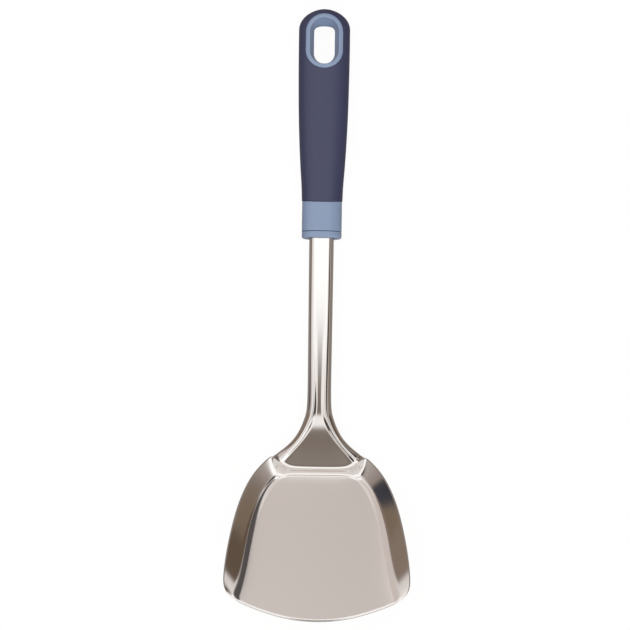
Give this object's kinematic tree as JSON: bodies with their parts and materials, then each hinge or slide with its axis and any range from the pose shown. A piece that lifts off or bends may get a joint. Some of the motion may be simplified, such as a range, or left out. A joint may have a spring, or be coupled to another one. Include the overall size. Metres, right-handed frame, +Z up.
{
  "type": "wok turner",
  "caption": "Steel cooking spatula with a shallow hollowed blade, pressed neck, rolled shank and a soft-grip handle with a hang hole.",
  "frame": {"origin": "centre of the bounding box's underside, with the turner lying on its heel and its handle", "axes": "+Y from the tip of the blade to the end of the handle, +Z up, the hollow of the blade upwards, X across"},
  "size_m": [0.106, 0.3574, 0.0372],
  "materials": {
    "polished_steel": "stainless steel sheet, polished on the walls, neck and shank, satin brushed on the flat of the blade",
    "light_blue_plastic": "moulded plastic, satin",
    "navy_soft_grip": "soft-touch elastomer, matte with a fine moulded texture"
  },
  "bodies": {
    "root": {"blade_and_shank": "polished_steel", "end_cap": "light_blue_plastic", "handle_core": "light_blue_plastic", "grip_cover": "navy_soft_grip"}
  },
  "joints": []
}
